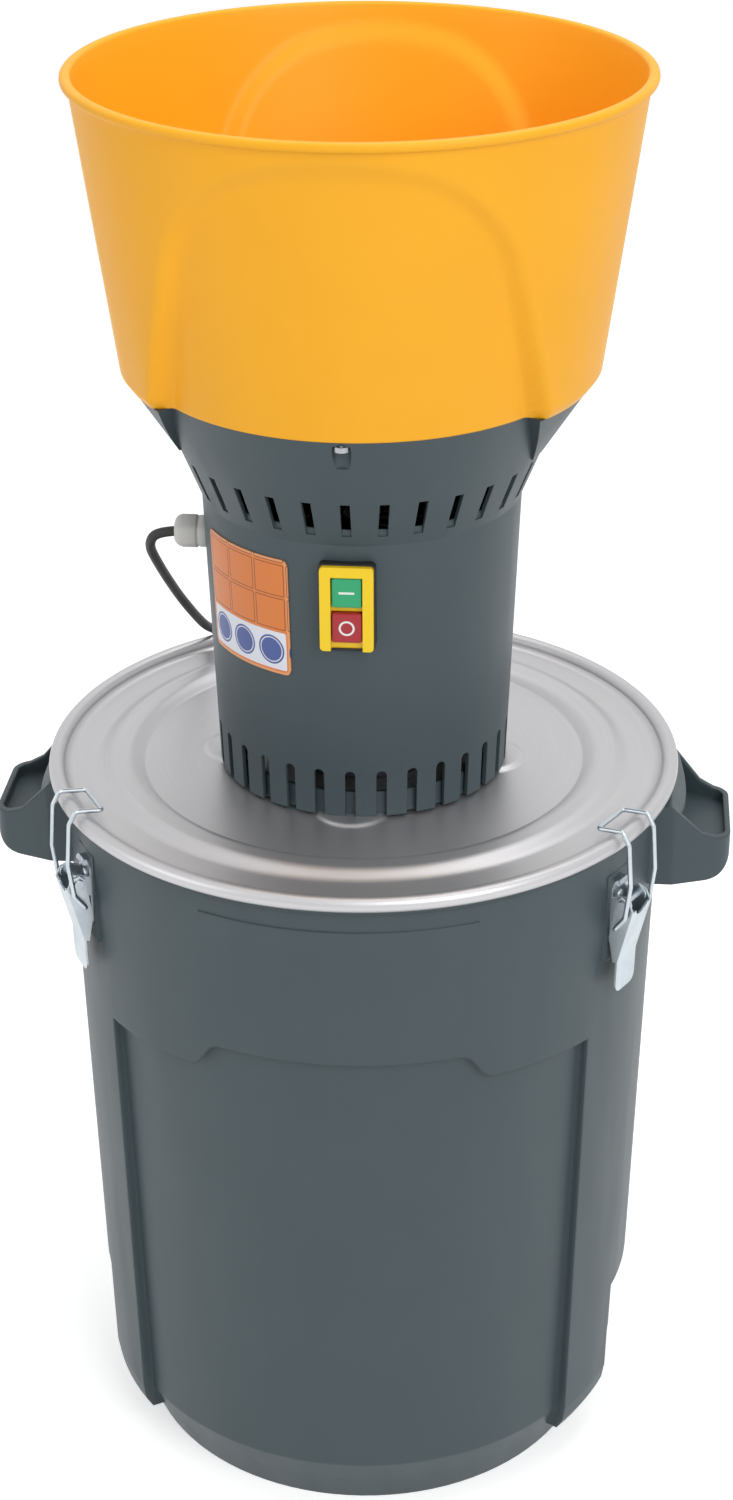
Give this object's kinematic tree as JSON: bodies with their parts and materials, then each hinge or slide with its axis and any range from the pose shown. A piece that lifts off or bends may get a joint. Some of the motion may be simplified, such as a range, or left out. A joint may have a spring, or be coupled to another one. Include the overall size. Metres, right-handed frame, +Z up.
{
  "type": "electric grain mill",
  "caption": "Upright grain mill: feed hopper on a vented motor head, latched to a bucket with carrying handles; push-button switch and mains lead.",
  "frame": {"origin": "centre of the bucket's flat base, on the surface it stands on", "axes": "+Z up along the common axis of bucket, motor head and hopper; -Y is the front with the switch; +X is to the right seen from the front"},
  "size_m": [0.48, 0.563, 0.941],
  "materials": {
    "grey_shell": "fine matt moulded grain, dark blue-grey",
    "hopper_yellow": "smooth satin moulded, warm orange-yellow",
    "lid_steel": "satin silver",
    "zinc_steel": "bright zinc plated",
    "cord_black": "matt",
    "gland_grey": "satin light grey",
    "switch_yellow": "gloss",
    "button_green": "gloss",
    "button_red": "gloss",
    "black_plastic": "matt",
    "label_print": "printed film, orange over white, left blank",
    "seal_rubber": "matt",
    "cast_metal": "as cast",
    "motor_iron": "laminated, oiled",
    "winding": "varnished copper wire",
    "steel": "machined",
    "copper": "turned",
    "stainless": "satin"
  },
  "bodies": {
    "stand": {"bucket": "grey_shell", "lid": "lid_steel", "lid_seal": "seal_rubber", "latch_rivets": "zinc_steel", "housing": "grey_shell", "hopper": "hopper_yellow", "hopper_screws": "zinc_steel", "feed_funnel": "hopper_yellow", "feed_chute": "zinc_steel", "base_ring": "black_plastic", "base_ring_bolts": "zinc_steel", "motor_frame_lower": "cast_metal", "motor_frame_upper": "cast_metal", "stator_core": "motor_iron", "field_windings": "winding", "brush_holders": "black_plastic", "bearing_lower": "steel", "bearing_upper": "steel", "motor_screws": "zinc_steel", "screen_ring": "stainless", "screen_plate": "stainless", "screen_studs": "zinc_steel", "screen_wing_nuts": "zinc_steel", "switch_frame": "switch_yellow", "switch_body": "black_plastic", "label_plate": "label_print", "cable_gland": "gland_grey", "gland_locknut": "gland_grey", "mains_cord": "cord_black", "cord_coil": "cord_black", "cord_tie": "black_plastic", "cord_tail": "cord_black", "mains_plug": "black_plastic", "capacitor": "black_plastic", "terminal_block": "gland_grey", "latch_base_left": "zinc_steel", "latch_pin_left": "zinc_steel", "latch_base_right": "zinc_steel", "latch_pin_right": "zinc_steel", "latch_base_rear": "zinc_steel", "latch_pin_rear": "zinc_steel"},
    "rotor": {"motor_shaft": "steel", "armature": "motor_iron", "commutator": "copper", "cooling_fan": "black_plastic", "fan_nut": "zinc_steel", "blade_spacer": "steel", "hammer_blade_upper": "stainless", "hammer_blade_lower": "stainless", "blade_washer": "steel", "blade_nut": "steel"},
    "start_button": {"start_button": "button_green"},
    "stop_button": {"stop_button": "button_red"},
    "lever_left": {"latch_lever_left": "zinc_steel"},
    "bail_left": {"latch_bail_left": "zinc_steel"},
    "lever_right": {"latch_lever_right": "zinc_steel"},
    "bail_right": {"latch_bail_right": "zinc_steel"},
    "lever_rear": {"latch_lever_rear": "zinc_steel"},
    "bail_rear": {"latch_bail_rear": "zinc_steel"}
  },
  "joints": [
    {"name": "rotor_spin", "type": "hinge", "parent": "stand", "child": "rotor", "pos_m": [0, 0, 0.5], "axis": [0, 0, 1], "continuous": true},
    {"name": "start_press", "type": "slide", "parent": "stand", "child": "start_button", "axis": [0, 1, 0], "range_m": [0, 0.003], "stiffness_N_per_m": 300},
    {"name": "stop_press", "type": "slide", "parent": "stand", "child": "stop_button", "axis": [0, 1, 0], "range_m": [0, 0.003], "stiffness_N_per_m": 300},
    {"name": "lever_left_swing", "type": "hinge", "parent": "stand", "child": "lever_left", "pos_m": [-0.17658, -0.10195, 0.448], "axis": [-0.5, 0.866, 0], "range_deg": [0, 150]},
    {"name": "bail_left_swing", "type": "hinge", "parent": "lever_left", "child": "bail_left", "pos_m": [-0.17399, -0.10045, 0.4315], "axis": [0.5, -0.866, 0], "range_deg": [0, 180]},
    {"name": "lever_right_swing", "type": "hinge", "parent": "stand", "child": "lever_right", "pos_m": [0.17658, -0.10195, 0.448], "axis": [-0.5, -0.866, 0], "range_deg": [0, 150]},
    {"name": "bail_right_swing", "type": "hinge", "parent": "lever_right", "child": "bail_right", "pos_m": [0.17399, -0.10045, 0.4315], "axis": [0.5, 0.866, 0], "range_deg": [0, 180]},
    {"name": "lever_rear_swing", "type": "hinge", "parent": "stand", "child": "lever_rear", "pos_m": [0, 0.2039, 0.448], "axis": [1, 0, 0], "range_deg": [0, 150]},
    {"name": "bail_rear_swing", "type": "hinge", "parent": "lever_rear", "child": "bail_rear", "pos_m": [0, 0.2009, 0.4315], "axis": [-1, 0, 0], "range_deg": [0, 180]}
  ],
  "couplings": [
    {"joint": "bail_left_swing", "follows": "lever_left_swing", "ratio": 1.2},
    {"joint": "bail_right_swing", "follows": "lever_right_swing", "ratio": 1.2},
    {"joint": "bail_rear_swing", "follows": "lever_rear_swing", "ratio": 1.2}
  ]
}
